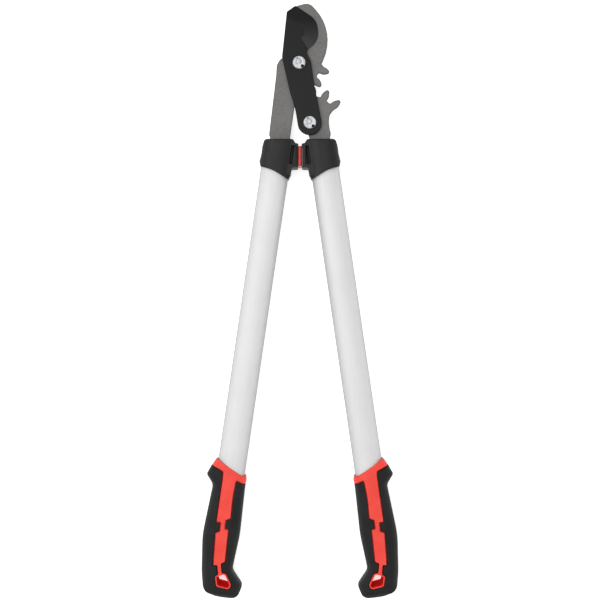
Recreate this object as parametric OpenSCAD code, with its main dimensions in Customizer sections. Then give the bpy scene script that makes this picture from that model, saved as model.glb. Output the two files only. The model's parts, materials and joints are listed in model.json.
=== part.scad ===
// Two-hand lopper with geared jaws.
// A bevelled blade closes past a grey hook jaw. The blade carries a second pivot, where
// the right handle's toothed arm meshes with teeth on the hook jaw, so the blade closes
// slower and harder than the handles.
// The tool lies flat: +Y runs towards the jaws, +Z is up, and the grips rest on z = 0.

/* [Handles] */
// Lean of each handle from the centre line, degrees
handle_angle = 8.3; // [7:0.1:10]
// Distance from the centre line to a handle's axis, half way along the tool
handle_offset = 53; // [50:0.5:58]
// Width of the oval handle tube
tube_w = 34.2; // [30:0.1:34.6]
// Thickness of the oval handle tube
tube_t = 24; // [18:0.5:25]
// Wall of the handle tube
tube_wall = 1.6; // [1:0.1:2.5]
// Overall thickness of the grips and collars
grip_t = 32; // [30:1:36]

/* [Plates] */
// Thickness of the hook jaw and of the geared arm
plate_t = 5; // [4:0.25:6]
// Thickness of the blade
blade_t = 4; // [3:0.25:5]
// Thickness of the friction washers between the plates
washer_t = 0.5; // [0.3:0.1:0.8]
// Width of the tangs that enter the handles
tang_w = 24; // [20:0.5:26]

/* [Gearing] */
// Teeth on a full circle of the hook jaw's gear
hook_teeth = 12; // [12:1:12]
// Teeth on a full circle of the arm's gear
arm_teeth = 15; // [15:1:15]
// Pressure angle of the teeth, degrees
pressure_angle = 22; // [20:1:24]
// Free play between the teeth, along the pitch circle
backlash = 0.9; // [0.6:0.1:1.5]

/* [Pivots] */
// Diameter of the pivot bolts
bolt_d = 8; // [6:0.5:9]
// Diameter of the bolt heads
bolt_head_d = 15.3; // [13:0.1:18]
// Radial running clearance round each bolt
running_gap = 0.05; // [0.02:0.01:0.1]

/* [Hidden] */
$fn = 64;

// Heights
mid_z = grip_t / 2;
plate_z = mid_z - plate_t / 2;
blade_z = plate_z + plate_t + washer_t;
blade_top = blade_z + blade_t;

// Pivots, in the plane of the tool
upper_pivot = [-1.1, 284.1];
lower_pivot = [11.7, 212.4];
centre_dist = norm(lower_pivot - upper_pivot);
centre_line = atan2(lower_pivot.y - upper_pivot.y, lower_pivot.x - upper_pivot.x);

// Gears: the pitch circles touch on the line of centres
hook_pitch_r = centre_dist * hook_teeth / (hook_teeth + arm_teeth);
arm_pitch_r = centre_dist - hook_pitch_r;
gear_module = 2 * hook_pitch_r / hook_teeth;
addendum = 0.94 * gear_module;
dedendum = 1.24 * gear_module;
tip_round = 1.3;
valley_round = 2.4;
// Turn of the hook tooth nearest the line of centres, away from that line
mesh_phase = 4.4;
hook_tooth_angles = [for (i = [0:2]) centre_line + mesh_phase + i * 360 / hook_teeth];
arm_gap_angle = centre_line + 180 - mesh_phase * hook_teeth / arm_teeth;
arm_tooth_angles = [for (i = [-3:0]) arm_gap_angle + (i + 0.5) * 360 / arm_teeth];

// Handle stations, measured along a handle's axis from the tool's mid length
tube_top = 184;
tube_end = -311;
tang_end = 122;
tang_top = 196;
plug_end = 118;
rivet_d = 5;
rivet_stations = [177, 165];
// The tangs sit a little to the inner side of the tube's axis
tang_shift = -0.6;
tang_gap = 0.05;
// Slip between parts that slide together and stay still
slip = 0.1;

// Colours
STEEL = [0.47, 0.46, 0.45];
BLACK = [0.16, 0.16, 0.17];
BLADE = [0.18, 0.18, 0.18];
SILVER = [0.8, 0.81, 0.83];
RED = [0.9, 0.27, 0.2];
ZINC = [0.75, 0.76, 0.77];
NYLON = [0.6, 0.6, 0.58];

// ---- Outlines ----

function unit(v) = v / norm(v);
function flat_cross(a, b) = a.x * b.y - a.y * b.x;

// Points of the round at corner b, between neighbours a and c, with radius b[2]
function corner(a, b, c, step) =
    let(p = [b.x, b.y],
        u = unit([a.x, a.y] - p),
        w = unit([c.x, c.y] - p),
        r = len(b) > 2 ? b[2] : 0,
        half = acos(u * w) / 2,
        turn = 180 - 2 * half,
        n = max(1, ceil(turn / step)),
        mid = p + unit(u + w) * r / sin(half),
        first = p + u * r / tan(half) - mid,
        way = flat_cross(u, w) > 0 ? -1 : 1)
    r == 0 || turn < 1 ? [p]
        : [for (i = [0:n]) let(t = way * i * turn / n)
            mid + [first.x * cos(t) - first.y * sin(t), first.x * sin(t) + first.y * cos(t)]];

// A closed outline of [x, y, corner radius] points
function rounded(pts, step = 9) =
    [for (i = [0:len(pts) - 1])
        each corner(pts[(i + len(pts) - 1) % len(pts)], pts[i], pts[(i + 1) % len(pts)], step)];

// Superellipse of width w and height t
function oval(w, t, power = 2.3, n = 48) =
    [for (i = [0:n - 1]) let(a = 360 * i / n, c = cos(a), s = sin(a))
        [w / 2 * sign(c) * pow(abs(c), 2 / power), t / 2 * sign(s) * pow(abs(s), 2 / power)]];

// Half the turn that a tooth takes up at radius r: an involute above the base circle,
// a radial wall below it
function involute(a) = tan(a) * 180 / PI - a;
function tooth_half(r, pitch_r) =
    let(thick = PI * gear_module / 2 - backlash / 2, base_r = pitch_r * cos(pressure_angle))
    thick / 2 / pitch_r * 180 / PI + involute(pressure_angle)
        - involute(r > base_r ? acos(base_r / r) : 0);

// Outline point of a tooth at turn a: radius r, side 1 or -1, rounded by round_r
function tooth_point(pivot, pitch_r, a, r, side, round_r) =
    let(t = a + side * tooth_half(r, pitch_r)) [pivot.x + r * cos(t), pivot.y + r * sin(t), round_r];

function tooth_flank(pivot, pitch_r, a, side, steps = 4) =
    let(base_r = pitch_r * cos(pressure_angle), tip_r = pitch_r + addendum)
    [for (i = [0:steps])
        tooth_point(pivot, pitch_r, a, base_r + (tip_r - base_r) * i / steps, side,
            i == steps ? tip_round : 0)];

function backwards(pts) = [for (i = [len(pts) - 1:-1:0]) pts[i]];

// A tooth's outline, clockwise from the valley before it to the valley after it
function tooth(pivot, pitch_r, a, rooted = true) =
    concat(rooted ? [tooth_point(pivot, pitch_r, a, pitch_r - dedendum, 1, valley_round)] : [],
        tooth_flank(pivot, pitch_r, a, 1), backwards(tooth_flank(pivot, pitch_r, a, -1)),
        [tooth_point(pivot, pitch_r, a, pitch_r - dedendum, -1, valley_round)]);

// A point of the right handle's own frame, in the plane of the tool
function from_handle(s, v, round_r = 0) =
    [handle_offset + s * cos(handle_angle) - v * sin(handle_angle),
        s * sin(handle_angle) + v * cos(handle_angle), round_r];
function mirrored(p) = [-p.x, p.y, p.z];

// The tang's four corners, from its inner side round to its outer side
tang_corners = [for (c = [[-1, tang_top], [-1, tang_end], [1, tang_end], [1, tang_top]])
    from_handle(tang_shift + c.x * tang_w / 2, c.y, c.y == tang_end ? 4 : 1)];

// Clockwise from the hook's tip: back of the hook, teeth, inner edge of the tang, tang,
// outer edge, shoulder, throat
module hook_outline() {
    back = [[-9, 349.2, 1.5], [-3.4, 353.9, 6], [11, 357.8, 11], [43.8, 322.9, 55.1],
        [25.8, 284, 1.2]];
    inner_edge = [[-6.2, 258.5, 2], [-11.5, 248.5, 7], [-6, 237.5, 7]];
    outer_edge = [[-37.2, 199, 4], [-28.6, 271, 12], [-27.6, 292.2, 15.5]];
    throat = [[-12, 294, 10], [-4, 301.8, 8], [9, 303, 9], [16.8, 314, 12], [15.6, 333, 14],
        [4, 343, 30]];
    polygon(rounded(concat(back,
        [for (i = [2:-1:0]) each tooth(upper_pivot, hook_pitch_r, hook_tooth_angles[i], i < 2)],
        inner_edge, [for (p = tang_corners) mirrored(p)], outer_edge, throat)));
}

// Clockwise from the hub's left side: teeth, outer edge, tang, inner edge
module arm_outline() {
    hub = [[1, 204.5, 10], [-2.2, 214, 20], [-4.6, 240, 3]];
    outer_edge = [[36, 224, 10], [34.2, 213, 30], [37.2, 199.5, 8]];
    inner_edge = [[10.2, 199, 3]];
    polygon(rounded(concat(hub,
        [for (i = [3:-1:0]) each tooth(lower_pivot, arm_pitch_r, arm_tooth_angles[i])],
        outer_edge, backwards(tang_corners), inner_edge)));
}

// ---- Jaws ----

module pivot_hole(pivot, z, h) {
    translate([pivot.x, pivot.y, z - 1]) cylinder(h = h + 2, d = bolt_d + 2 * running_gap);
}

// Cross holes for the two rivets, in the right handle's own frame
module rivet_holes() {
    for (v = rivet_stations)
        translate([0, v, -tube_t]) cylinder(h = 2 * tube_t, d = rivet_d + slip);
}

module hook_jaw() {
    color(STEEL)
        difference() {
            translate([0, 0, plate_z]) linear_extrude(plate_t) hook_outline();
            pivot_hole(upper_pivot, plate_z, plate_t);
            handle(-1) rivet_holes();
        }
}

module gear_arm() {
    color(STEEL)
        difference() {
            translate([0, 0, plate_z]) linear_extrude(plate_t) arm_outline();
            pivot_hole(lower_pivot, plate_z, plate_t);
            handle(1) rivet_holes();
        }
}

// The cutting edge runs straight from the tip, then follows an arc about edge_centre.
// The bevel is a cone about that centre, carried on as a flat beside the straight run.
blade_tip = [-5.5, 353.8];
blade_turn = [20.2, 336.5];
edge_centre = [-2.8, 321.5];
tip_run = unit(blade_turn - blade_tip);
tip_run_len = (edge_centre - blade_tip) * tip_run;
edge_r = norm(edge_centre - blade_tip - tip_run * tip_run_len);
heel_angle = -61;
bevel_w = 17;
edge_land = 0.4;

link_end_r = 14.3;

// Corner between two tangents of the link's round end, given the turns of their normals
function link_corner(a, b) =
    let(reach = link_end_r / cos((b - a) / 2), mid = (a + b) / 2)
    [lower_pivot.x + reach * cos(mid), lower_pivot.y + reach * sin(mid), link_end_r];

module blade_outline() {
    polygon(rounded([[blade_tip.x, blade_tip.y, 2.6], [blade_turn.x, blade_turn.y, 20],
        [23, 312.4, 20], [8.5, 300, 0.8], [8.2, 296, 3], [12.8, 286.9, 10],
        [17.1, 258.6, 60], link_corner(10.5, -80), link_corner(-80, -171.9),
        [-5.4, 227.8, 60], [-12.7, 252.1, 80], [-21.6, 291.6, 1.5],
        [-18.9, 318.3, 60], [-15.9, 345.6, 1.5]], 6));
}

// Everything on the +Y side of a line through the origin, at the given turn
module half_space(turn) {
    rotate(turn) translate([-60, 0, -1]) cube([120, 60, blade_t + 2]);
}

// What the grinding wheel takes away: the metal outside the cone and above the tip flat
module bevel_cut() {
    run_angle = atan2(tip_run.y, tip_run.x);
    rise = blade_t - edge_land + 0.01;
    reach = 12;
    // The slope runs on past the edge, so that it never ends flush with the plate's wall
    past_edge = 0.6;
    low = -past_edge * rise / bevel_w;
    grind = [[past_edge, low], [reach, low], [reach, rise], [-bevel_w, rise]];
    // The flat lies a little inside the cone and runs on past it, so that the two cross
    flat_inset = 0.05;
    run_on = 3;
    translate([edge_centre.x, edge_centre.y, blade_z + edge_land])
        difference() {
            rotate_extrude($fn = 96)
                polygon([for (p = grind) [edge_r + p.x, p.y]]);
            half_space(run_angle + 90);
            half_space(heel_angle + 180);
        }
    translate([blade_tip.x, blade_tip.y, blade_z + edge_land])
        rotate(run_angle)
            rotate([90, 0, 90])
                translate([-flat_inset, 0, -6])
                    linear_extrude(6 + tip_run_len + run_on)
                        polygon(grind);
}

module blade() {
    color(BLADE)
        difference() {
            translate([0, 0, blade_z]) linear_extrude(blade_t) blade_outline();
            pivot_hole(upper_pivot, blade_z, blade_t);
            pivot_hole(lower_pivot, blade_z, blade_t);
            bevel_cut();
        }
}

// ---- Pivot hardware ----

nut_w = 13;
nut_h = 6.5;
nut_washer_t = 1.2;
nut_washer_d = 18;
friction_washer_d = 20;
thread_end = 1.2;
head_h = 4.6;
head_edge = 0.9;

module bolt(pivot) {
    notch_turn = -48;
    shank_end = plate_z - nut_washer_t - nut_h - thread_end;
    color(ZINC)
        translate([pivot.x, pivot.y, 0])
            difference() {
                union() {
                    translate([0, 0, shank_end]) cylinder(h = blade_top - shank_end, d = bolt_d);
                    translate([0, 0, blade_top]) cylinder(h = head_h - head_edge, d = bolt_head_d);
                    translate([0, 0, blade_top + head_h - head_edge])
                        cylinder(h = head_edge, d1 = bolt_head_d, d2 = bolt_head_d - 1.6);
                    translate([0, 0, blade_top + head_h]) cylinder(h = 0.8, d1 = 6.4, d2 = 5);
                }
                rotate(notch_turn)
                    translate([bolt_head_d / 2 - 1.5, 0, blade_top + head_h - 2.2])
                        cylinder(h = 4, d = 3.4);
            }
}

module washer(pivot, z, h, d) {
    color(ZINC)
        translate([pivot.x, pivot.y, z])
            difference() {
                cylinder(h = h, d = d);
                translate([0, 0, -1]) cylinder(h = h + 2, d = bolt_d + 2 * running_gap);
            }
}

module friction_washer(pivot) {
    washer(pivot, plate_z + plate_t, washer_t, friction_washer_d);
}

module nut_washer(pivot) {
    washer(pivot, plate_z - nut_washer_t, nut_washer_t, nut_washer_d);
}

module nut(pivot) {
    color(ZINC)
        translate([pivot.x, pivot.y, plate_z - nut_washer_t - nut_h])
            difference() {
                cylinder(h = nut_h, d = nut_w / cos(30), $fn = 6);
                translate([0, 0, -1]) cylinder(h = nut_h + 2, d = bolt_d + 2 * running_gap);
            }
}

// ---- Handles: drawn in the right handle's frame, where +X is outward and +Y runs along
// ---- the tube towards the jaws, then placed on either side

module handle(side) {
    mirror([side < 0 ? 1 : 0, 0, 0])
        translate([handle_offset, 0, mid_z]) rotate([0, 0, handle_angle]) children();
}

// A bar with an oval section, from station v0 to v1
module oval_bar(v0, v1, w, t, x = 0, power = 2.3) {
    translate([x, v1, 0]) rotate([90, 0, 0]) linear_extrude(v1 - v0) polygon(oval(w, t, power));
}

// Slot for a tang, from station v0 to v1
module tang_space(v0, v1) {
    translate([tang_shift - tang_w / 2 - tang_gap, v0, -plate_t / 2 - tang_gap])
        cube([tang_w + 2 * tang_gap, v1 - v0, plate_t + 2 * tang_gap]);
}

module tube(side) {
    color(SILVER)
        handle(side)
            difference() {
                oval_bar(tube_end, tube_top, tube_w, tube_t);
                oval_bar(tube_end - 1, tube_top + 1, tube_w - 2 * tube_wall, tube_t - 2 * tube_wall);
                rivet_holes();
            }
}

module plug(side) {
    color(NYLON)
        handle(side)
            difference() {
                oval_bar(plug_end, tube_top, tube_w - 2 * tube_wall - slip, tube_t - 2 * tube_wall - slip);
                tang_space(tang_end, tube_top + 1);
                rivet_holes();
            }
}

module rivet(side, v) {
    rivet_len = tube_t - 0.3;
    color(ZINC)
        handle(side)
            translate([0, v, -rivet_len / 2]) cylinder(h = rivet_len, d = rivet_d);
}

// ---- Collars: the outline is drawn in the plane of the tool, for the right side ----

collar_outline = [[11.2, 192.4, 1.5], [42.6, 192.4, 4], [45.1, 184, 20], [46.3, 174.5, 8],
    [48.7, 166.3, 2.5], [47.4, 160.2, 1.5], [31.8, 154.8, 40], [14.2, 144.2, 1.2],
    [11.2, 150, 6], [10.2, 158, 1.5], [2.4, 158.2, 0.8], [2.4, 159.4, 0.2], [2.8, 159.8],
    [2.8, 184.4], [1.9, 184.8, 0.3], [2.2, 186.8, 1], [5.6, 187.4, 1], [8.2, 191.8, 1.5]];

// Stations that clear the collar at both ends
skirt_end = 130;
head_end = 215;

module collar_solid() {
    shoulder = 13;
    intersection() {
        linear_extrude(grip_t) polygon(rounded(collar_outline));
        union() {
            // Skirt and head round the tube
            handle(1) oval_bar(skirt_end, head_end, 40.6, grip_t + 0.6, 0, 2.6);
            // Flatter bracket that faces the other handle
            translate([0, 150, mid_z - shoulder]) cube([30, 60, 2 * shoulder]);
        }
    }
}

// Slanted slot beside the head, which leaves a thick wall and a triangular web behind the
// pad: the wall is thicker on the side that has no bumper of its own
module bracket_slot(side) {
    slot_floor = 7;
    slot_top = 184.4;
    slot_end = 162.2;
    wall_x = side < 0 ? 5.2 : 6.6;
    slot = [[wall_x, slot_top, 0.6], [9.2, slot_top, 0.6], [14, slot_end, 0.6],
        [wall_x + 4.6, slot_end, 0.6], [wall_x + 1.4, slot_top - 8, 4]];
    for (z = [mid_z + slot_floor, -1])
        translate([0, 0, z])
            linear_extrude(mid_z - slot_floor + 1) polygon(rounded(slot));
}

module collar(side) {
    color(BLACK)
        mirror([side < 0 ? 1 : 0, 0, 0])
            difference() {
                collar_solid();
                bracket_slot(side);
                handle(1) oval_bar(skirt_end, tube_top, tube_w + slip, tube_t + slip);
                handle(1) tang_space(tube_top - 1, head_end);
                if (side < 0) bumper_slot();
            }
}

// The bumper sits on the left collar's pad wall, with its tail through a square hole
pad_face = 2.8;
bumper_gap = 0.2;
tail_w = 10;
tail_y = 172;
tail_end = 6.3;
tail_slip = 0.05;

module bumper_slot() {
    translate([0, tail_y - tail_w / 2, mid_z - tail_w / 2]) cube([tail_end, tail_w, tail_w]);
}

module bumper() {
    pad_h = 24;
    pad_len = 24.2;
    pad_x = tail_slip - pad_face;
    pad_w = 2 * pad_face - bumper_gap - tail_slip;
    chamfer = 1.2;
    tail_side = tail_w - 2 * tail_slip;
    color(RED) {
        difference() {
            translate([pad_x, tail_y - pad_len / 2, mid_z - pad_h / 2]) cube([pad_w, pad_len, pad_h]);
            for (z = [-1, 1], x = [pad_x, pad_x + pad_w])
                translate([x, tail_y, mid_z + z * pad_h / 2])
                    rotate([0, 45, 0]) cube([chamfer, pad_len + 2, chamfer], center = true);
        }
        translate([tail_slip - tail_end, tail_y - tail_side / 2, mid_z - tail_side / 2])
            cube([tail_end - pad_face + 1, tail_side, tail_side]);
    }
}

// ---- Grips ----

// Outer outline, starting at the horn of the cuff and going down the outer side
grip_outline = [[18.6, -192.3, 2.5], [23.6, -202.5, 20], [28.3, -214.4, 3], [19, -225.6, 9],
    [22.9, -287, 120], [17.4, -331, 80], [12.6, -352.8, 12], [-10, -357.4, 60],
    [-29.2, -356, 9], [-33.4, -341, 6.5], [-18.6, -324.8, 9], [-21.6, -282, 120],
    [-19.4, -222, 40], [-20.4, -216, 8], [-18.2, -207.8, 1.2], [-15.6, -210.6, 1.5],
    [0.4, -202.8, 40], [16, -194.4, 1.5]];

// Where the hard core shows through the soft cover: cuff, zigzag stripe and hole rim
core_window = [[32, -200], [8.6, -207.5, 2], [8.1, -219.2, 20], [8, -268.1, 0.8],
    [2.9, -267.5, 0.8], [2.3, -278.6, 0.8], [7.3, -280.4, 1.2], [4.5, -320, 1.2],
    [-0.3, -318.9, 0.8], [-2.6, -330, 0.6], [0.2, -331.1, 0.8], [-2.6, -343, 1.8],
    [-18, -345.6, 2], [-20.4, -339.7, 1.5], [-11, -326.4, 1.5], [-7.5, -326.7, 0.6],
    [-5, -316.4, 0.6], [-9.2, -313.8, 1.2], [-7.8, -274.4, 1.2], [-3.2, -274.8, 0.6],
    [-3.1, -264.2, 0.8], [-8.5, -261.4, 1], [-7.4, -237, 60], [-8.4, -215.8, 1.2],
    [-16.4, -219.1, 8], [-30, -222.4], [-30, -185], [32, -185]];

hanging_hole = [[-1.5, -332.6, 1], [-4.2, -342.2, 1.6], [-17, -343.6, 1.6],
    [-18.4, -339.9, 1.4], [-11.1, -328.8, 1.6], [-8.2, -329, 1]];

// Stations that clear the grip at both ends
cuff_top = -185;
grip_end = -360;
sleeve_wall = 1.6;
sleeve_floor = 3;

module grip_solid() {
    end_round = 9;
    // The crown is cut level at the top and bottom, which gives the grip its flats
    crown_t = grip_t + 1;
    side_view = [[-190, -13.6, 2], [-206, -14.4, 20], [-224, -16, 30], [-359, -16, end_round],
        [-359, 16, end_round], [-224, 16, 30], [-206, 14.4, 20], [-190, 13.6, 2]];
    intersection() {
        translate([0, 0, -grip_t / 2]) linear_extrude(grip_t) polygon(rounded(grip_outline));
        union() {
            // Body, flared guard and foot
            oval_bar(grip_end, cuff_top, 44.4, crown_t, 0.9, 2.4);
            oval_bar(-228, cuff_top, 52, crown_t, 3.6, 2.4);
            oval_bar(grip_end, -322, 54, crown_t, -7.6, 2.6);
        }
        translate([40, 0, 0]) rotate([0, -90, 0]) linear_extrude(80)
            polygon([for (p = rounded(side_view)) [p.y, p.x]]);
    }
}

module window_prism() {
    translate([0, 0, -grip_t]) linear_extrude(2 * grip_t) polygon(rounded(core_window));
}

module sleeve() {
    oval_bar(tube_end - sleeve_floor, -200, tube_w + 2 * sleeve_wall, tube_t + 2 * sleeve_wall);
}

module grip_core(side) {
    color(RED)
        handle(side)
            difference() {
                intersection() {
                    grip_solid();
                    union() {
                        window_prism();
                        sleeve();
                    }
                }
                oval_bar(tube_end, cuff_top, tube_w + slip, tube_t + slip);
                translate([0, 0, -grip_t]) linear_extrude(2 * grip_t) polygon(rounded(hanging_hole));
            }
}

module grip_cover(side) {
    color(BLACK)
        handle(side)
            difference() {
                grip_solid();
                window_prism();
                sleeve();
            }
}

hook_jaw();
plug(-1);  // left_plug
rivet(-1, rivet_stations[0]);  // left_rivet_upper
rivet(-1, rivet_stations[1]);  // left_rivet_lower
tube(-1);  // left_tube
collar(-1);  // left_collar
bumper();
grip_core(-1);  // left_grip_core
grip_cover(-1);  // left_grip_cover
blade();
bolt(upper_pivot);  // blade_bolt
friction_washer(upper_pivot);  // blade_friction_washer
nut_washer(upper_pivot);  // blade_nut_washer
nut(upper_pivot);  // blade_nut
bolt(lower_pivot);  // gear_bolt
friction_washer(lower_pivot);  // gear_friction_washer
nut_washer(lower_pivot);  // gear_nut_washer
nut(lower_pivot);  // gear_nut
gear_arm();
plug(1);  // right_plug
rivet(1, rivet_stations[0]);  // right_rivet_upper
rivet(1, rivet_stations[1]);  // right_rivet_lower
tube(1);  // right_tube
collar(1);  // right_collar
grip_core(1);  // right_grip_core
grip_cover(1);  // right_grip_cover
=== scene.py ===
"""Looks of the two-hand geared lopper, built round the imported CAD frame.

Lengths in the shape functions are in millimetres and are scaled when a mesh is made.
A handle is drawn in its own frame, where +X is outward and +Y runs along the tube to the
jaws, then placed on either side.
"""
import json
import math

import bmesh
import bpy
from mathutils import Matrix, Vector

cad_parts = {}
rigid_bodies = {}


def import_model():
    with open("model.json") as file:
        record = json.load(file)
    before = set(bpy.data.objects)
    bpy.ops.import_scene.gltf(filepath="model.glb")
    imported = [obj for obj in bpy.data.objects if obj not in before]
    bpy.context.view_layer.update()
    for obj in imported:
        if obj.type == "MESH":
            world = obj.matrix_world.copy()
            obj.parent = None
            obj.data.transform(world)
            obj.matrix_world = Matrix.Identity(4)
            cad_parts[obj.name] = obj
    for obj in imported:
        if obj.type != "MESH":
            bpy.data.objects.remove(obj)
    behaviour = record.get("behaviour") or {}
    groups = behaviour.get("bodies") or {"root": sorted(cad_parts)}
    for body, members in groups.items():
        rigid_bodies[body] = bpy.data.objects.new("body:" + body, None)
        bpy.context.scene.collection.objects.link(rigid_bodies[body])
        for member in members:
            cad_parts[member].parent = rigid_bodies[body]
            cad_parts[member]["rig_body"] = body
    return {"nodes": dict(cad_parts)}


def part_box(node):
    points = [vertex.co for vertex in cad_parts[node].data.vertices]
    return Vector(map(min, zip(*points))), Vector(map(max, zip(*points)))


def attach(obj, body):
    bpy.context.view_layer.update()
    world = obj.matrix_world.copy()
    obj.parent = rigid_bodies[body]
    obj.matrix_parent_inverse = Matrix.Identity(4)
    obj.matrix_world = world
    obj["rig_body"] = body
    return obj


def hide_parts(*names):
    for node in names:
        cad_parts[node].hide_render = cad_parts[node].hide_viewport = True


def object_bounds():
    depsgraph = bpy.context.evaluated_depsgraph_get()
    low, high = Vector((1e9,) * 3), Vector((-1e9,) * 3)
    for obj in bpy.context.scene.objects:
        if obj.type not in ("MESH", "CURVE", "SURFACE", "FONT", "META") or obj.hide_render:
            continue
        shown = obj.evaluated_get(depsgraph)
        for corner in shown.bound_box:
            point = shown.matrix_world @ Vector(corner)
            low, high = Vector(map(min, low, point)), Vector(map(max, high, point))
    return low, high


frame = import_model()
cad_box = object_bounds()

MM = 0.001
NODES = frame["nodes"]

# ---- The frame's sizes, in millimetres ----

LOW, HIGH = (Vector(c) / MM for c in cad_box)
MID_Z = HIGH.z / 2
HANDLE_ANGLE = math.radians(8.3)
HANDLE_OFFSET = 53.0
TUBE_W = 34.2
TUBE_T = 24.0
TUBE_WALL = 1.6
# Clearance round a piece that sits inside another
CLEAR = 0.1


def node_box(node):
    """Lowest and highest corner of a CAD node, in millimetres."""
    lo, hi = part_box(node)
    return lo / MM, hi / MM


def node_centre(node):
    lo, hi = node_box(node)
    return (lo + hi) / 2


# ---- Outlines ----

def cross(a, b):
    return a.x * b.y - a.y * b.x


def rounded(points, step=5.0):
    """A closed outline of (x, y, corner radius) points, its rounds as short chords."""
    out = []
    count = len(points)
    for i, point in enumerate(points):
        p = Vector(point[:2])
        u = (Vector(points[i - 1][:2]) - p).normalized()
        w = (Vector(points[(i + 1) % count][:2]) - p).normalized()
        radius = point[2] if len(point) > 2 else 0.0
        half = math.acos(max(-1.0, min(1.0, u.dot(w)))) / 2
        turn = math.pi - 2 * half
        if radius == 0 or turn < math.radians(1):
            out.append((p.x, p.y))
            continue
        chords = max(1, math.ceil(turn / math.radians(step)))
        mid = p + (u + w).normalized() * radius / math.sin(half)
        first = p + u * radius / math.tan(half) - mid
        way = -1 if cross(u, w) > 0 else 1
        for k in range(chords + 1):
            t = way * k * turn / chords
            c, s = math.cos(t), math.sin(t)
            out.append((mid.x + first.x * c - first.y * s, mid.y + first.x * s + first.y * c))
    return out


def oval(width, thickness, power=2.3, count=96):
    """Superellipse about the origin, as (across, up) points."""
    points = []
    for i in range(count):
        t = 2 * math.pi * i / count
        c, s = math.cos(t), math.sin(t)
        points.append((width / 2 * math.copysign(abs(c) ** (2 / power), c),
                       thickness / 2 * math.copysign(abs(s) ** (2 / power), s)))
    return points


def circle(centre, radius, step):
    """A circle as (x, y) points, one every step degrees."""
    turns = [math.radians(a) for a in range(0, 360, step)]
    return [(centre.x + radius * math.cos(t), centre.y + radius * math.sin(t)) for t in turns]


def moved_outline(points, by):
    """The closed outline with each side moved outward by that much, for an outline that
    runs clockwise."""
    out = []
    count = len(points)
    for i in range(count):
        p = Vector(points[i])
        a = p - Vector(points[i - 1])
        b = Vector(points[(i + 1) % count]) - p
        if a.length < 1e-6 or b.length < 1e-6:
            out.append((p.x, p.y))
            continue
        na = Vector((-a.y, a.x)).normalized()
        nb = Vector((-b.y, b.x)).normalized()
        mid = na + nb
        mid = mid / max(mid.dot(na), 0.5)
        out.append((p.x + mid.x * by, p.y + mid.y * by))
    return out


# ---- Meshes ----

def make(name, points, faces):
    mesh = bpy.data.meshes.new(name)
    mesh.from_pydata([Vector(p) * MM for p in points], [], faces)
    mesh.validate()
    obj = bpy.data.objects.new(name, mesh)
    bpy.context.scene.collection.objects.link(obj)
    face_outward(obj)
    return obj


def edit(obj, change):
    """Runs change(bm) on the object's mesh."""
    bm = bmesh.new()
    bm.from_mesh(obj.data)
    change(bm)
    bm.to_mesh(obj.data)
    bm.free()
    obj.data.update()


def face_outward(obj):
    edit(obj, lambda bm: bmesh.ops.recalc_face_normals(bm, faces=bm.faces))


def rings(name, loops, closed=False):
    """Skin over equal loops of points. The ends are capped, or joined to each other."""
    count = len(loops[0])
    points = [p for loop in loops for p in loop]
    faces = []
    last = len(loops) if closed else len(loops) - 1
    for k in range(last):
        a, b = k * count, (k + 1) % len(loops) * count
        for i in range(count):
            j = (i + 1) % count
            faces.append((a + i, a + j, b + j, b + i))
    if not closed:
        faces.append(tuple(range(count))[::-1])
        faces.append(tuple(range(len(points) - count, len(points))))
    return make(name, points, faces)


def prism(name, outline, z0, z1):
    return rings(name, [[(x, y, z) for x, y in outline] for z in (z0, z1)])


def bar(name, section, v0, v1):
    """A bar along Y with an (across, up) section."""
    return rings(name, [[(a, v, z) for a, z in section] for v in (v0, v1)])


def tube_bar(name, wider, v0, v1):
    """A bar with the handle tube's section made wider by that much."""
    return bar(name, oval(TUBE_W + wider, TUBE_T + wider), v0, v1)


def side_prism(name, outline, x0, x1):
    """A prism along X with a (y, z) outline."""
    return rings(name, [[(x, y, z) for y, z in outline] for x in (x0, x1)])


def lathe(name, profile, centre, segments=128):
    """A (radius, z) profile turned about a vertical line. It starts and ends on that line."""
    points = [(centre.x, centre.y, profile[0][1])]
    for r, z in profile[1:-1]:
        for i in range(segments):
            t = 2 * math.pi * i / segments
            points.append((centre.x + r * math.cos(t), centre.y + r * math.sin(t), z))
    points.append((centre.x, centre.y, profile[-1][1]))
    faces = []
    rows = len(profile) - 2
    for i in range(segments):
        j = (i + 1) % segments
        faces.append((0, 1 + j, 1 + i))
        for k in range(rows - 1):
            a, b = 1 + k * segments, 1 + (k + 1) * segments
            faces.append((a + i, a + j, b + j, b + i))
        top = 1 + (rows - 1) * segments
        faces.append((top + i, top + j, len(points) - 1))
    return make(name, points, faces)


def ring_lathe(name, profile, centre, segments=96):
    """A closed (radius, z) profile turned about a vertical line, which it doesn't touch."""
    loops = []
    for i in range(segments):
        t = 2 * math.pi * i / segments
        loops.append([(centre.x + r * math.cos(t), centre.y + r * math.sin(t), z)
                      for r, z in profile])
    return rings(name, loops, closed=True)


def apply_modifiers(obj):
    graph = bpy.context.evaluated_depsgraph_get()
    mesh = bpy.data.meshes.new_from_object(obj.evaluated_get(graph))
    obj.modifiers.clear()
    old = obj.data
    obj.data = mesh
    bpy.data.meshes.remove(old)


def combine(obj, others, operation):
    """Boolean of obj with each of the others, which are used up."""
    for other in others:
        step = obj.modifiers.new("boolean", "BOOLEAN")
        step.operation = operation
        step.solver = "MANIFOLD"
        step.object = other
        apply_modifiers(obj)
        bpy.data.objects.remove(other)


def cut(obj, *others):
    combine(obj, others, "DIFFERENCE")


def join(obj, *others):
    combine(obj, others, "UNION")


def keep_inside(obj, *others):
    combine(obj, others, "INTERSECT")


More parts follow.
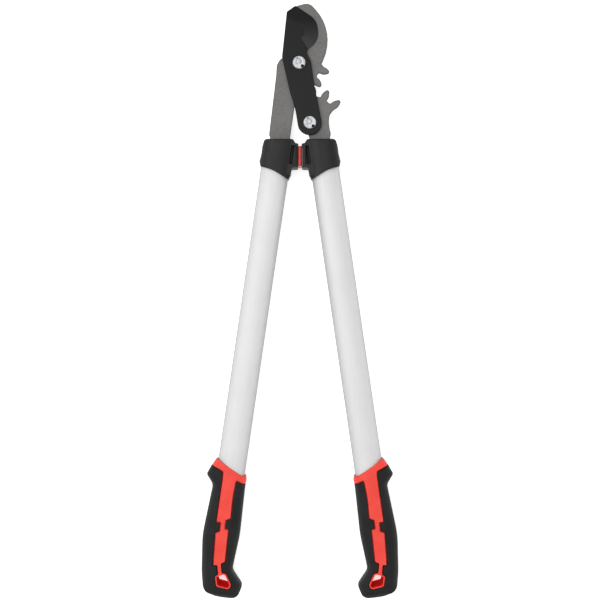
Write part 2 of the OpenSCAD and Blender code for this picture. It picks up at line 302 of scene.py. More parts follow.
def melt(obj, voxel, rounds, share):
    """Rounds every edge: an even mesh of that voxel size in millimetres, smoothed that many
    times, then thinned to a share of its faces."""
    remesh = obj.modifiers.new("remesh", "REMESH")
    remesh.mode = "VOXEL"
    remesh.voxel_size = voxel * MM
    remesh.adaptivity = 0.0
    smooth = obj.modifiers.new("smooth", "SMOOTH")
    smooth.factor = 0.5
    smooth.iterations = rounds
    thin = obj.modifiers.new("thin", "DECIMATE")
    thin.ratio = share
    apply_modifiers(obj)
    for face in obj.data.polygons:
        face.use_smooth = True


def place_on_handle(obj, side):
    """From the right handle's own frame to its place on the right (1) or the left (-1)."""
    to_right = (Matrix.Translation(Vector((HANDLE_OFFSET, 0, MID_Z)) * MM)
                @ Matrix.Rotation(HANDLE_ANGLE, 4, "Z"))
    obj.data.transform(to_right)
    mirror_to(obj, side)


def mirror_to(obj, side):
    """From the right to that side: the left (-1) is the right's mirror image."""
    if side < 0:
        obj.data.transform(Matrix.Scale(-1, 4, Vector((1, 0, 0))))
        obj.data.flip_normals()


def shade(obj, angle, apart=lambda face: False):
    """Smooth shading, with an edge kept wherever the surface turns more than the angle, and
    round the faces that are set apart."""
    sides = {}
    for face in obj.data.polygons:
        face.use_smooth = True
        for key in face.edge_keys:
            sides.setdefault(key, set()).add(apart(face))
    obj.data.set_sharp_from_angle(angle=math.radians(angle))
    for edge in obj.data.edges:
        if len(sides[edge.key]) > 1:
            edge.use_edge_sharp = True
    weighted = obj.modifiers.new("normals", "WEIGHTED_NORMAL")
    weighted.keep_sharp = True
    apply_modifiers(obj)
    return obj


# ---- Materials ----

def srgb(r, g, b):
    """A colour seen as these 0 to 255 numbers, as the linear colour that shaders use."""
    def linear(v):
        v = v / 255
        return v / 12.92 if v <= 0.04045 else ((v + 0.055) / 1.055) ** 2.4
    return (linear(r), linear(g), linear(b), 1.0)


def scaled(colour, factor):
    return tuple(c * factor for c in colour[:3]) + (1.0,)


class Material:
    """A node material with a Principled shader that reads object coordinates."""

    def __init__(self, name, roughness=0.5, metallic=0.0, specular=0.5):
        self.material = bpy.data.materials.new(name)
        self.material.use_nodes = True
        self.tree = self.material.node_tree
        self.shader = self.tree.nodes["Principled BSDF"]
        self.shader.inputs["Roughness"].default_value = roughness
        self.shader.inputs["Metallic"].default_value = metallic
        self.shader.inputs["Specular IOR Level"].default_value = specular
        self.place = self.tree.nodes.new("ShaderNodeTexCoord").outputs["Object"]

    def node(self, kind, inputs=None, **settings):
        made = self.tree.nodes.new(kind)
        for key, value in settings.items():
            setattr(made, key, value)
        for key, value in (inputs or {}).items():
            if isinstance(value, bpy.types.NodeSocket):
                self.tree.links.new(value, made.inputs[key])
            else:
                made.inputs[key].default_value = value
        return made

    def set(self, key, value):
        self.tree.links.new(value, self.shader.inputs[key])

    def stretched(self, y, turn):
        """Coordinates turned about Z, then scaled along Y."""
        spun = self.node("ShaderNodeMapping", {"Vector": self.place,
                                               "Rotation": (0, 0, turn)})
        return self.node("ShaderNodeMapping", {"Vector": spun.outputs[0],
                                               "Scale": (1.0, y, 1.0)}).outputs[0]

    def noise(self, size, detail=3.0, roughness=0.55, vector=None):
        """Noise with features of about that size in millimetres."""
        return self.node("ShaderNodeTexNoise", {
            "Vector": vector or self.place, "Scale": 1 / (size * MM), "Detail": detail,
            "Roughness": roughness}).outputs["Fac"]

    def cells(self, size):
        """A pebble grain with cells of about that size in millimetres."""
        return self.node("ShaderNodeTexVoronoi", {
            "Vector": self.place, "Scale": 1 / (size * MM)}).outputs["Distance"]

    def ramp(self, fac, stops):
        """A colour ramp of (position, colour) stops."""
        made = self.node("ShaderNodeValToRGB", {"Fac": fac})
        elements = made.color_ramp.elements
        while len(elements) < len(stops):
            elements.new(0.5)
        for element, (position, colour) in zip(elements, stops):
            element.position = position
            element.color = colour
        return made.outputs["Color"]

    def span(self, value, low, high, start=0.0, end=1.0):
        """Maps a value's low..high to start..end."""
        return self.node("ShaderNodeMapRange", {
            "Value": value, "From Min": low, "From Max": high,
            "To Min": start, "To Max": end}).outputs["Result"]

    def mix(self, fac, a, b):
        made = self.node("ShaderNodeMix", data_type="RGBA")
        for socket, value in ((made.inputs[0], fac), (made.inputs[6], a), (made.inputs[7], b)):
            if isinstance(value, bpy.types.NodeSocket):
                self.tree.links.new(value, socket)
            else:
                socket.default_value = value
        return made.outputs[2]

    def math(self, operation, a, b):
        made = self.node("ShaderNodeMath", operation=operation)
        for socket, value in zip(made.inputs, (a, b)):
            if isinstance(value, bpy.types.NodeSocket):
                self.tree.links.new(value, socket)
            else:
                socket.default_value = value
        return made.outputs[0]

    def bump(self, *layers):
        """Bump from (height, depth in millimetres) layers, the first one lowest."""
        normal = None
        for height, depth in layers:
            inputs = {"Height": height, "Distance": depth * MM, "Strength": 1.0}
            if normal is not None:
                inputs["Normal"] = normal
            normal = self.node("ShaderNodeBump", inputs).outputs["Normal"]
        self.set("Normal", normal)

    def painted_wall_shade_mask(self, low, high):
        """0 on walls and 1 on level faces: the mask for shade painted on the walls."""
        normal = self.node("ShaderNodeNewGeometry").outputs["Normal"]
        height = self.node("ShaderNodeSeparateXYZ", {0: normal}).outputs["Z"]
        return self.span(height, low, high)


def jaw_steel(name="jaw_steel", share=1.0):
    """Bead-blasted steel; share darkens it, as shade painted on the rolled edges."""
    m = Material(name, metallic=0.2, specular=0.35)
    speckle = m.noise(1.6, detail=4, roughness=0.75)
    cloud = m.noise(22, detail=2)
    dark, light = scaled(srgb(98, 97, 95), share), scaled(srgb(122, 121, 119), share)
    tone = m.ramp(speckle, [(0.38, dark), (0.62, light)])
    m.set("Base Color", m.mix(m.span(cloud, 0.35, 0.65, 0.0, 0.5), tone, light))
    m.set("Roughness", m.span(speckle, 0.3, 0.7, 0.42, 0.58))
    m.bump((m.noise(0.5, detail=2), 0.02))
    return m.material


def blade_coating(name="blade_coating", share=1.0):
    """Dark non-stick coating; share darkens it, as shade painted on the rolled edges."""
    m = Material(name, specular=0.2)
    speckle = m.noise(0.8, detail=4, roughness=0.7)
    cloud = m.noise(30, detail=2)
    dark, light = scaled(srgb(24, 24, 24), share), scaled(srgb(32, 32, 32), share)
    tone = m.ramp(speckle, [(0.38, dark), (0.62, light)])
    # Painted shade: the coating is darker towards the tip
    along = m.node("ShaderNodeSeparateXYZ", {0: m.place}).outputs["Y"]
    painted_tip_shade = m.span(along, 0.20, 0.35, 0.0, 0.75)
    clouded = m.mix(m.span(cloud, 0.35, 0.65, 0.0, 0.5), tone, light)
    m.set("Base Color", m.mix(painted_tip_shade, clouded, scaled(dark, 0.6)))
    m.set("Roughness", m.span(speckle, 0.3, 0.7, 0.4, 0.52))
    m.bump((m.noise(0.6, detail=2), 0.015))
    return m.material


def ground_bevel():
    """The ground face beside the cutting edge: fine scratches across it."""
    m = Material("ground_bevel", specular=0.2)
    scratches = m.noise(0.5, detail=3, vector=m.stretched(0.08, math.radians(25)))
    speckle = m.noise(0.8, detail=3)
    tone = m.ramp(scratches, [(0.3, srgb(22, 22, 22)), (0.7, srgb(30, 30, 30))])
    # Painted light: the ground face is lighter towards the heel
    along = m.node("ShaderNodeSeparateXYZ", {0: m.place}).outputs["Y"]
    painted_heel_light = m.span(along, 0.336, 0.304)
    m.set("Base Color", m.mix(painted_heel_light, tone, srgb(60, 60, 60)))
    m.set("Roughness", m.span(speckle, 0.3, 0.7, 0.34, 0.46))
    m.bump((scratches, 0.01))
    return m.material


def zinc():
    """Dull zinc plating with a mottled bloom."""
    m = Material("zinc", metallic=0.55, specular=0.5)
    bloom = m.noise(2.4, detail=4)
    spots = m.noise(0.8, detail=3)
    tone = m.ramp(bloom, [(0.32, srgb(176, 179, 184)), (0.68, srgb(222, 224, 226))])
    m.set("Base Color", m.mix(m.span(spots, 0.55, 0.75, 0.0, 0.6), tone, srgb(160, 163, 168)))
    m.set("Roughness", m.span(bloom, 0.3, 0.7, 0.4, 0.5))
    m.bump((m.noise(1.6, detail=2), 0.02), (spots, 0.012))
    return m.material


def notch_painted_shade():
    """Painted shade in the bottom of the bolt head's notch and punch mark."""
    m = Material("notch_painted_shade", specular=0.3)
    grain = m.noise(0.6, detail=3)
    m.set("Base Color", m.mix(grain, srgb(14, 14, 15), srgb(30, 30, 31)))
    m.set("Roughness", m.span(grain, 0.3, 0.7, 0.5, 0.7))
    m.bump((grain, 0.02))
    return m.material


def anodised_tube():
    """Satin anodised aluminium, with a drawing grain along each tube, and shade painted on its
    sides.
    """
    m = Material("anodised_tube", metallic=0.2, specular=0.35)
    grain = [m.noise(0.6, detail=3, vector=m.stretched(0.02, turn))
             for turn in (HANDLE_ANGLE, -HANDLE_ANGLE)]
    side = m.node("ShaderNodeSeparateXYZ", {0: m.place}).outputs["X"]
    streaks = m.node("ShaderNodeMix", {0: m.math("GREATER_THAN", side, 0.0), 2: grain[0],
                                       3: grain[1]}, data_type="FLOAT").outputs[0]
    cloud = m.noise(40, detail=2)
    tone = m.ramp(streaks, [(0.3, srgb(220, 220, 220)), (0.7, srgb(229, 229, 229))])
    tone = m.mix(m.span(cloud, 0.35, 0.65, 0.0, 0.4), tone, srgb(231, 231, 230))
    # Painted shade: darker on the tube's sides than on its top
    m.set("Base Color", m.mix(m.painted_wall_shade_mask(0.0, 0.9), srgb(136, 137, 140), tone))
    m.set("Roughness", m.span(streaks, 0.3, 0.7, 0.5, 0.6))
    m.bump((streaks, 0.006), (m.noise(0.4, detail=2), 0.004))
    return m.material


def black_plastic():
    m = Material("black_plastic", specular=0.35)
    grain = m.cells(0.7)
    cloud = m.noise(18, detail=2)
    tone = m.mix(m.span(cloud, 0.35, 0.65), srgb(23, 23, 24), srgb(29, 29, 30))
    # Painted shade: darker on walls and rounded edges than on level faces
    m.set("Base Color", m.mix(m.painted_wall_shade_mask(0.3, 0.9), srgb(10, 10, 11), tone))
    m.set("Roughness", m.span(grain, 0.1, 0.7, 0.44, 0.58))
    m.bump((m.noise(6, detail=2), 0.03), (grain, 0.03))
    return m.material


def red_bumper():
    m = Material("red_bumper", roughness=0.32, specular=0.5)
    cloud = m.noise(5, detail=3)
    m.set("Base Color", m.mix(m.span(cloud, 0.3, 0.7), srgb(176, 48, 40), srgb(196, 58, 50)))
    m.bump((m.noise(0.8, detail=2), 0.01))
    return m.material


def red_plastic():
    m = Material("red_plastic", specular=0.25)
    grain = m.noise(0.6, detail=3)
    cloud = m.noise(16, detail=2)
    tone = m.mix(m.span(cloud, 0.35, 0.65), srgb(244, 71, 59), srgb(250, 79, 67))
    # Painted shade: a darker red on walls than on level faces
    m.set("Base Color", m.mix(m.painted_wall_shade_mask(0.1, 0.6), srgb(196, 22, 18), tone))
    m.set("Roughness", m.span(grain, 0.3, 0.7, 0.4, 0.52))
    m.bump((grain, 0.02))
    return m.material


def red_recess():
    """The dull inside of the hanging hole."""
    m = Material("red_recess", specular=0.02)
    grain = m.noise(0.8, detail=3)
    m.set("Base Color", m.mix(grain, srgb(228, 36, 32), srgb(240, 44, 38)))
    m.set("Roughness", m.span(grain, 0.3, 0.7, 0.8, 0.95))
    m.bump((grain, 0.02))
    return m.material


def grip_rubber():
    m = Material("grip_rubber", specular=0.25)
    grain = m.cells(0.8)
    cloud = m.noise(20, detail=2)
    tone = m.mix(m.span(cloud, 0.35, 0.65), srgb(24, 25, 25), srgb(30, 31, 31))
    # Painted shade: darker on the grip's walls than on its level faces
    m.set("Base Color", m.mix(m.painted_wall_shade_mask(0.0, 0.7), srgb(18, 19, 19), tone))
    m.set("Roughness", m.span(grain, 0.1, 0.7, 0.56, 0.7))
    m.bump((m.noise(5, detail=2), 0.03), (grain, 0.05))
    return m.material


def plain_plastic(name, colour):
    m = Material(name, specular=0.4)
    grain = m.noise(0.8, detail=3)
    m.set("Base Color", m.mix(m.span(grain, 0.3, 0.7), scaled(colour, 0.9), colour))
    m.set("Roughness", m.span(grain, 0.3, 0.7, 0.45, 0.6))
    m.bump((grain, 0.02))
    return m.material


def stand_in(obj, node, slot, *materials):
    """obj is shown for a CAD node: it takes its place and its body; the slot is not used."""
    obj.data.materials.clear()
    for material in materials:
        obj.data.materials.append(material)
    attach(obj, NODES[node]["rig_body"])
    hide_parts(node)
    return obj


def repaint(node, material):
    NODES[node].data.materials.clear()
    NODES[node].data.materials.append(material)


STEEL = jaw_steel()
# Darker copies for the rolled edges: painted shade
STEEL_EDGE_PAINTED_SHADE = jaw_steel("jaw_steel_edge_painted_shade", 0.5)
COATING = blade_coating()
COATING_EDGE_PAINTED_SHADE = blade_coating("blade_coating_edge_painted_shade", 0.4)
BEVEL = ground_bevel()
TUBE = anodised_tube()
BLACK = black_plastic()
BUMPER = red_bumper()
RED = red_plastic()
RECESS = red_recess()
RUBBER = grip_rubber()
ZINC = zinc()
NOTCH_PAINTED_SHADE = notch_painted_shade()
NYLON = plain_plastic("nylon", srgb(170, 168, 160))
WASHER = plain_plastic("friction_washer", srgb(214, 210, 200))

# ---- Plates: the CAD shape with its stamped edges rounded ----

# How far the blade's ground face leans, in degrees
GRIND_TILT = math.degrees(math.atan2(3.6, 17))
# How far the plates' edges are rolled over, in millimetres
TOP_ROUND = 0.8
UNDER_ROUND = 0.4


def face_tilt(face):
    return math.degrees(face.normal.angle(Vector((0, 0, 1))))


def is_ground(face):
    return abs(face_tilt(face) - GRIND_TILT) < 1.5


def plate(name, node):
    """A copy of a CAD plate. The edges round its top and its underside are rounded."""
    obj = bpy.data.objects.new(name, NODES[node].data.copy())
    bpy.context.scene.collection.objects.link(obj)
    lo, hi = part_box(node)

    def soften_edges(bm):
        bmesh.ops.remove_doubles(bm, verts=bm.verts, dist=0.002 * MM)
        bmesh.ops.dissolve_limit(bm, angle_limit=math.radians(0.6), verts=bm.verts,
                                 edges=bm.edges)
        for z, size in ((hi.z, TOP_ROUND), (lo.z, UNDER_ROUND)):
            rim = [e for e in bm.edges if len(e.link_faces) == 2
                   and all(abs(v.co.z - z) < 0.01 * MM for v in e.verts)
                   and e.calc_face_angle(0) > math.radians(50)]
            bmesh.ops.bevel(bm, geom=rim, offset=size * MM, offset_type="OFFSET", segments=3,
                            profile=0.5, affect="EDGES", clamp_overlap=False)
    edit(obj, soften_edges)
    return shade(obj, 40, is_ground)


def plate_piece(name, node, slot, *materials):
    """A plate whose faces, rolled edges and ground face have a material each; the rolled edges
    take a darker copy as painted shade.
    """
    obj = stand_in(plate(name, node), node, slot, *materials)
    for face in obj.data.polygons:
        if len(materials) > 2 and is_ground(face):
            face.material_index = 2
        else:
            # Tilted faces on the rolled edges take the darker copy: painted shade
            face.material_index = 1 if 8 < face_tilt(face) < 172 else 0


plate_piece("hook_jaw_plate", "hook_jaw", "jaw_steel", STEEL, STEEL_EDGE_PAINTED_SHADE)
plate_piece("gear_arm_plate", "gear_arm", "jaw_steel", STEEL, STEEL_EDGE_PAINTED_SHADE)
plate_piece("blade_plate", "blade", "blade_coating", COATING, COATING_EDGE_PAINTED_SHADE, BEVEL)

# ---- Pivot hardware ----

BOLT_R = 4.0
HEAD_R = 7.5


def bolt_piece(node, name):
    """Bolt with a domed disc head, a small off-centre boss, a low index rib and a notch that
    opens at the rim."""
    lo, hi = node_box(node)
    centre = node_centre(node)
    under = node_box("blade")[1].z
    boss_height = 0.8
    rim = hi.z - boss_height
    chamfer = 0.8
    burr = 0.3
    edge = 1.5
    profile = [(0, lo.z), (BOLT_R - chamfer, lo.z), (BOLT_R, lo.z + chamfer), (BOLT_R, under),
               (HEAD_R - burr, under), (HEAD_R, under + burr), (HEAD_R, rim - edge)]
    for k in range(1, 7):
        t = math.radians(15 * k)
        profile.append((HEAD_R - edge * (1 - math.cos(t)), rim - edge + edge * math.sin(t)))
    profile += [(4.6, rim - 0.1), (3.6, rim - 0.25), (2.0, rim - 0.25), (0, rim - 0.25)]
    obj = lathe(name, profile, centre)

    boss = centre + Vector((-0.2, 1.3, 0))
    cut(obj, ring_lathe("groove", [(2.7, rim - 0.9), (3.5, rim - 0.7), (3.5, rim + 1),
                                   (2.7, rim + 1)], boss, 64))
    join(obj, lathe("boss", [(0, rim - 1), (2.9, rim - 1), (2.9, rim + 0.3), (2.75, rim + 0.55),
                             (2.3, hi.z), (0, hi.z)], boss, 64))
    rib_end = centre.y - 6.9
    rib = [(boss.x - 1.0, boss.y), (boss.x + 1.0, boss.y), (boss.x + 1.2, rib_end),
           (boss.x - 1.2, rib_end)]
    join(obj, prism("rib", rib, rim - 1, rim + 0.2))

    notch_turn = math.radians(-48)
    notch_r = 1.9
    mark_r = 0.8
    away = Vector((math.cos(notch_turn), math.sin(notch_turn), 0))
    across = Vector((-away.y, away.x, 0)) * 1.7
    at = centre + away * 6.0
    out = centre + away * 9.5
    depth = (rim - 2.2, hi.z + 1)
    cut(obj, prism("notch", circle(at, notch_r, 10), *depth))
    mouth = [(p.x, p.y) for p in (at - across, out - across, out + across, at + across)]
    cut(obj, prism("mouth", mouth, depth[0] + 0.01, depth[1]))
    mark = centre + Vector((-2.1, 4.9, 0))
    cut(obj, prism("punch", circle(mark, mark_r, 20), rim - 1.2, hi.z + 1))
    stand_in(obj, node, "zinc_hardware", ZINC, NOTCH_PAINTED_SHADE)
    for face in obj.data.polygons:
        # Painted shade lies in the notch and in the punch mark
        from_notch = face.center / MM - at
        deep = depth[0] - 0.1 < face.center.z / MM < rim - 0.2
        from_mark = face.center / MM - mark
        in_painted_shade = (from_notch.xy.length < notch_r + 0.1
                 or from_mark.xy.length < mark_r + 0.1)
        face.material_index = 1 if deep and in_painted_shade else 0
    shade(obj, 30)


def nut_piece(node, name):
    """Hexagon nut with turned corners."""
    lo, hi = node_box(node)
    centre = node_centre(node)
    flat = (hi.x - lo.x) / 2 * math.cos(math.radians(30))
    corner = flat / math.cos(math.radians(30))
    body = prism(name, circle(centre, corner, 60), lo.z, hi.z)
    chamfer = (corner - flat) * 0.6
    turned = [(0, lo.z), (flat * 0.97, lo.z), (corner + 0.01, lo.z + chamfer),
              (corner + 0.01, hi.z - chamfer), (flat * 0.97, hi.z), (0, hi.z)]
    keep_inside(body, lathe("turned", turned, centre))
    bore = [(0, lo.z - 1), (BOLT_R + 0.8, lo.z - 1), (BOLT_R + 0.5, lo.z + 0.3),
            (BOLT_R + 0.05, lo.z + 0.7), (BOLT_R + 0.05, hi.z + 1), (0, hi.z + 1)]
    cut(body, lathe("bore", bore, centre))
    shade(body, 20)
    stand_in(body, node, "zinc_hardware", ZINC)


def washer_piece(node, name):
    lo, hi = node_box(node)
    centre = node_centre(node)
    outer = (hi.x - lo.x) / 2
    edge = min(0.25, (hi.z - lo.z) / 3)
    inner = BOLT_R + 0.05
    profile = [(inner, lo.z), (outer - edge, lo.z), (outer, lo.z + edge), (outer, hi.z - edge),
               (outer - edge, hi.z), (inner, hi.z)]
    obj = ring_lathe(name, profile, centre)
    shade(obj, 20)
    stand_in(obj, node, "zinc_hardware", ZINC)


for pivot in ("blade", "gear"):
    bolt_piece(pivot + "_bolt", pivot + "_bolt_turned")
    nut_piece(pivot + "_nut", pivot + "_nut_hexagon")
    washer_piece(pivot + "_nut_washer", pivot + "_nut_washer_plated")
    repaint(pivot + "_friction_washer", WASHER)

for side_name in ("left", "right"):
    repaint(side_name + "_plug", NYLON)
    for level in ("upper", "lower"):
        repaint(f"{side_name}_rivet_{level}", ZINC)

# ---- Handle tubes ----

TUBE_TOP = 184.0
TUBE_END = -311.0


def tube_piece(side, node, name):
    """Oval drawn tube, open at both ends, with its rims broken slightly."""
    def section(width, thickness, v):
        return [(a, v, z) for a, z in oval(width, thickness)]
    edge = 0.3
    rim_w, rim_t = TUBE_W - 2 * edge, TUBE_T - 2 * edge
    bore_w, bore_t = TUBE_W - 2 * TUBE_WALL, TUBE_T - 2 * TUBE_WALL
    outer = [section(rim_w, rim_t, TUBE_END), section(TUBE_W, TUBE_T, TUBE_END + edge),
             section(TUBE_W, TUBE_T, TUBE_TOP - edge), section(rim_w, rim_t, TUBE_TOP)]
    inner = [section(bore_w, bore_t, TUBE_TOP), section(bore_w, bore_t, TUBE_END)]
    obj = rings(name, outer + inner, closed=True)
    shade(obj, 30)
    place_on_handle(obj, side)
    stand_in(obj, node, "handle_tube", TUBE)


tube_piece(-1, "left_tube", "left_tube_drawn")
tube_piece(1, "right_tube", "right_tube_drawn")

# ---- Collars ----

COLLAR_OUTLINE = [(11.2, 192.4, 1.5), (42.6, 192.4, 4), (45.1, 184, 20), (46.3, 174.5, 8),
                  (48.7, 166.3, 2.5), (47.4, 160.2, 1.5), (31.8, 154.8, 40), (14.2, 144.2, 1.2),
                  (11.2, 150, 6), (10.2, 158, 1.5), (2.4, 158.2, 0.8), (2.4, 159.4, 0.2),
                  (2.8, 159.8), (2.8, 184.4), (1.9, 184.8, 0.3), (2.2, 186.8, 1),
                  (5.6, 187.4, 1), (8.2, 191.8, 1.5)]
TANG_SHIFT = -0.6
TANG_W = 24.0
PLATE_T = 5.0
TAIL_W = 10.0
TAIL_Y = 172.0


def collar_piece(side, node, name):
    """Moulded collar: a barrel round the tube, and a bracket that faces the other handle."""
    hi_z = HIGH.z
    barrel_w = 40.6
    bracket_half = 13.0
    past_top = 215.0
    head = bar(name, oval(barrel_w, hi_z, 2.6, 160), 130, past_top)
    place_on_handle(head, 1)
    bracket = prism("bracket", [(0, 150), (0, 210), (30, 210), (30, 150)],
                    MID_Z - bracket_half, MID_Z + bracket_half)
    join(head, bracket)
    keep_inside(head, prism("outline", rounded(COLLAR_OUTLINE), 0.0, hi_z))
    crown = [(130, 0, 0), (130, hi_z, 0), (192.4, hi_z, 3.2), (192.4, 0, 3.2)]
    keep_inside(head, side_prism("crown", rounded(crown), -10, 60))
    # Beside the tube a deep slot runs down at the tube's slant. The web between the slot and
    # the upright pad is sunk a little, and level ledges close it at the top and the bottom.
    pad = 4.4 if side < 0 else 6.8
    top, foot = 184.4, 162.2
    web = [(pad, top, 0.6), (10.0, top, 0.6), (13.2, foot, 0.6), (pad, foot, 0.6)]
    slot = [(6.8, top, 0.4), (10.0, top, 0.4), (13.2, foot, 0.6), (9.8, foot, 0.6)]
    for outline, floor in ((web, 10.0), (slot, 6.5)):
        cut(head, prism("slot", rounded(outline), MID_Z + floor, hi_z + 1),
            prism("slot_under", rounded(outline), -1, MID_Z - floor))
    bore = tube_bar("bore", CLEAR, 120, TUBE_TOP)
    place_on_handle(bore, 1)
    tang_left = TANG_SHIFT - TANG_W / 2 - CLEAR
    tang_right = TANG_SHIFT + TANG_W / 2 + CLEAR
    tang = prism("tang", [(tang_left, TUBE_TOP - 1), (tang_left, past_top),
                          (tang_right, past_top), (tang_right, TUBE_TOP - 1)],
                 -PLATE_T / 2 - CLEAR, PLATE_T / 2 + CLEAR)
    place_on_handle(tang, 1)
    cut(head, bore, tang)
    if side < 0:
        half = TAIL_W / 2
        cut(head, prism("tail", [(0, TAIL_Y - half), (0, TAIL_Y + half), (6.3, TAIL_Y + half),
                                 (6.3, TAIL_Y - half)], MID_Z - half, MID_Z + half))
    mirror_to(head, side)
    melt(head, 0.45, 4, 0.3)
    stand_in(head, node, "black_plastic", BLACK)


collar_piece(-1, "left_collar", "left_collar_moulded")
collar_piece(1, "right_collar", "right_collar_moulded")


def bumper_piece():
    """Soft stop with a round front, and a square tail that holds it in the left collar."""
    lo, hi = node_box("bumper")
    face = -2.75
    radius = 2.3
    section = rounded([(face, lo.z, radius), (face, hi.z, radius), (hi.x, hi.z, radius),
                       (hi.x, lo.z, radius)], 10)
    obj = rings("bumper_moulded", [[(x, y, z) for x, z in section]
                                   for y in (lo.y + 0.1, hi.y - 0.1)])
    half = TAIL_W / 2 - CLEAR
    tail = prism("tail", [(lo.x, TAIL_Y - half), (lo.x, TAIL_Y + half), (face + 1, TAIL_Y + half),
                          (face + 1, TAIL_Y - half)], MID_Z - half, MID_Z + half)
    join(obj, tail)
    melt(obj, 0.3, 3, 0.5)
    stand_in(obj, "bumper", "red_bumper", BUMPER)


bumper_piece()

# ---- Grips ----

GRIP_OUTLINE = [(18.9, -192.8, 3.8), (23.6, -202.5, 20), (28.3, -214.4, 3), (19, -225.6, 9),
                (22.9, -287, 120), (17.4, -331, 80), (12.6, -352.8, 12), (-10, -357.4, 60),
                (-29.2, -356, 9), (-33.4, -341, 6.5), (-18.6, -324.8, 9), (-21.6, -282, 120),
                (-19.4, -222, 40), (-20.4, -216, 8), (-18.5, -208.4, 2.2), (-15.2, -210.5, 1.5),
                (0.4, -202.8, 40)]
CORE_WINDOW = [(32, -200), (8.6, -207.5, 2), (8.1, -219.2, 20), (8, -268.1, 0.8),
               (2.9, -267.5, 0.8), (2.3, -278.6, 0.8), (7.3, -280.4, 1.2), (4.5, -320, 1.2),
               (-0.3, -318.9, 0.8), (-2.6, -330, 0.6), (0.2, -331.1, 0.8), (-2.6, -343, 1.8),
               (-18, -345.6, 2), (-20.4, -339.7, 1.5), (-11, -326.4, 1.5), (-7.5, -326.7, 0.6),
               (-5, -316.4, 0.6), (-9.2, -313.8, 1.2), (-7.8, -274.4, 1.2), (-3.2, -274.8, 0.6),
               (-3.1, -264.2, 0.8), (-8.5, -261.4, 1), (-7.4, -237, 60), (-8.4, -215.8, 1.2),
               (-16.4, -219.1, 8), (-30, -222.4), (-30, -185), (32, -185)]
HANGING_HOLE = [(-1.5, -332.6, 1), (-4.2, -342.2, 1.6), (-17, -343.6, 1.6),
                (-18.4, -339.9, 1.4), (-11.1, -328.8, 1.6), (-8.2, -329, 1)]
# The grip's half thickness by station
GRIP_HALF = [(-185, 13.4), (-206, 14.4), (-216, 15.4), (-228, 16.0), (-346, 16.0),
             (-352, 15.0), (-355.5, 12.5), (-357.6, 8.6)]


def between(stops, v):
    """Reads a list of (station, value) stops, in falling order, at station v."""
    for (v0, a), (v1, b) in zip(stops, stops[1:]):
        if v >= v1:
            t = min(1.0, max(0.0, (v0 - v) / (v0 - v1)))
            t = t * t * (3 - 2 * t)
            return a + (b - a) * t
    return stops[-1][1]


def reach(outline, v):
    """Where a level line crosses the outline: its least and greatest x."""
    hits = []
    for (x0, y0), (x1, y1) in zip(outline, outline[1:] + outline[:1]):
        if (y0 - v) * (y1 - v) <= 0 and y0 != y1:
            hits.append(x0 + (x1 - x0) * (v - y0) / (y1 - y0))
    return min(hits), max(hits)


def grip_body(name, sink=0.0):
    """The whole grip as one skin: its sides follow the outline, its top and underside are
    crowned. Sink makes it thinner all round by that much."""
    outline = rounded(GRIP_OUTLINE, 3)
    loops = []
    v = -186.0
    while v > -359.0:
        # Past these stations the outline, not the body, shapes the cuff and the end
        low = reach(outline, min(-211.0, max(-343.0, v)))[0]
        high = reach(outline, min(-197.0, max(-345.0, v)))[1]
        mid, half = (low + high) / 2, (high - low) / 2 + 0.6
        thick = between(GRIP_HALF, v)
        loops.append([(mid + a, v, max(-MID_Z, min(MID_Z, z)))
                      for a, z in oval(2 * half, 2 * thick + 1.2, 2.5, 120)])
        v -= 1.0
    body = rings(name, loops)
    keep_inside(body, prism("outline", moved_outline(outline, -sink) if sink else outline,
                            -MID_Z + sink, MID_Z - sink))
    return body


def grip_pieces(side, side_name):
    """The black cover and the red core that shows at its neck and through its window."""
    window = rounded(CORE_WINDOW, 6)
    hole = rounded(HANGING_HOLE, 10)
    groove = 0.45
    inner = tube_bar("sleeve", 3.2, TUBE_END - 3, -200)

    cover = grip_body(side_name + "_grip_cover_moulded")
    cut(cover, prism("window", moved_outline(window, groove), -20, 20), inner)
    melt(cover, 0.6, 4, 0.3)
    place_on_handle(cover, side)
    stand_in(cover, side_name + "_grip_cover", "grip_rubber", RUBBER)

    core = grip_body(side_name + "_grip_core_moulded", 0.35)
    keep_inside(core, prism("window", moved_outline(window, -groove), -20, 20))
    sleeve = tube_bar("sleeve", 3.0, TUBE_END - 3, -202)
    keep_inside(sleeve, prism("outline", rounded(GRIP_OUTLINE, 6), -MID_Z, MID_Z))
    lip = prism("lip", moved_outline(hole, 1.7), -MID_Z, MID_Z)
    join(core, sleeve, lip)
    cut(core, tube_bar("tube", CLEAR, TUBE_END, -185), tube_bar("mouth", 1.6, -212, -185),
        prism("hole", hole, -20, 20))
    melt(core, 0.5, 3, 0.3)
    stand_in(core, side_name + "_grip_core", "red_plastic", RED, RECESS)
    # The walls of the hanging hole take the duller material
    low, high = Vector((-19, -344.5)) * MM, Vector((-1, -332)) * MM
    for face in core.data.polygons:
        x, y, z = face.center
        near = low.x < x < high.x and low.y < y < high.y
        face.material_index = 1 if near and abs(face.normal.z) < 0.35 and abs(z) < 15 * MM else 0
    place_on_handle(core, side)


grip_pieces(-1, "left")
grip_pieces(1, "right")

# ---- Studio ----


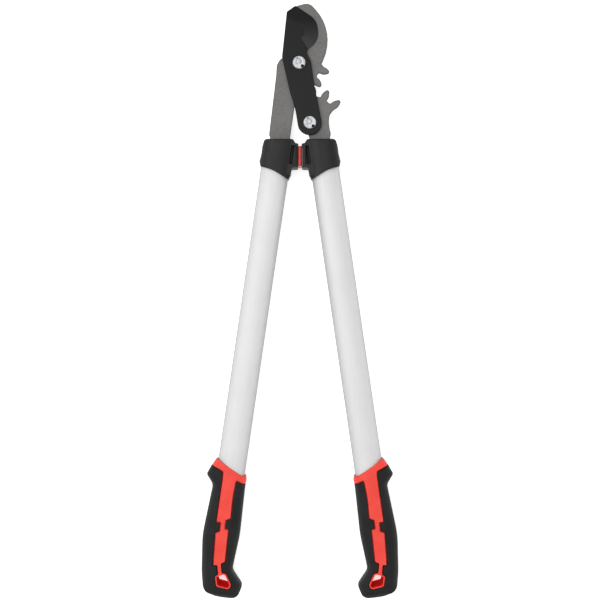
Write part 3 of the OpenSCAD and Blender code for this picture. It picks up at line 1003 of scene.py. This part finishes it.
def floor_piece():
    """A wide white floor, a hair under the object so that the two never share a plane."""
    size = 30.0
    mesh = bpy.data.meshes.new("floor")
    mesh.from_pydata([(-size, -size, 0), (size, -size, 0), (size, size, 0), (-size, size, 0)],
                     [], [(0, 1, 2, 3)])
    obj = bpy.data.objects.new("floor", mesh)
    bpy.context.scene.collection.objects.link(obj)
    obj.location.z = -0.2 * MM
    m = Material("floor", roughness=0.9, specular=0.1)
    m.set("Base Color", m.mix(m.noise(60, detail=2), srgb(250, 250, 250), srgb(255, 255, 255)))
    m.shader.inputs["Emission Color"].default_value = (1, 1, 1, 1)
    m.shader.inputs["Emission Strength"].default_value = 0.62
    mesh.materials.append(m.material)


def soft_light(name, place, size, watts):
    """A square area light that aims at the middle of the object."""
    data = bpy.data.lights.new(name, "AREA")
    data.shape = "SQUARE"
    data.size = size
    data.energy = watts
    obj = bpy.data.objects.new(name, data)
    obj.location = place
    aim = Vector((0, 0, 0)) - Vector(place)
    obj.rotation_euler = aim.to_track_quat("-Z", "Y").to_euler()
    bpy.context.scene.collection.objects.link(obj)


floor_piece()
soft_light("key", (-0.8, 0.35, 2.05), 1.8, 24)
soft_light("fill", (0.8, -1.0, 2.0), 2.4, 9)

world = bpy.data.worlds.new("studio")
world.use_nodes = True
world.node_tree.nodes["Background"].inputs["Color"].default_value = (1, 1, 1, 1)
# White near the horizon, and dimmer above, so that a low view has a white backdrop
sky = world.node_tree.nodes.new("ShaderNodeTexCoord").outputs["Generated"]
split = world.node_tree.nodes.new("ShaderNodeSeparateXYZ")
fade = world.node_tree.nodes.new("ShaderNodeMapRange")
world.node_tree.links.new(sky, split.inputs[0])
world.node_tree.links.new(split.outputs["Z"], fade.inputs["Value"])
for key, value in (("From Min", math.sin(math.radians(15))),
                   ("From Max", math.sin(math.radians(28))), ("To Min", 1.0), ("To Max", 0.42)):
    fade.inputs[key].default_value = value
world.node_tree.links.new(fade.outputs["Result"],
                          world.node_tree.nodes["Background"].inputs["Strength"])
bpy.context.scene.world = world
bpy.context.scene.view_settings.view_transform = "Standard"

# A camera straight above the object, that high over its middle in metres
CAMERA_HEIGHT = 1.3
camera = bpy.data.cameras.new("camera")
camera.sensor_width = 36
camera.lens = 64.8
viewer = bpy.data.objects.new("camera", camera)
centre_x, centre_y = (LOW.x + HIGH.x) / 2 * MM, (LOW.y + HIGH.y) / 2 * MM
viewer.location = (centre_x, centre_y, MID_Z * MM + CAMERA_HEIGHT)
bpy.context.scene.collection.objects.link(viewer)
bpy.context.scene.camera = viewer
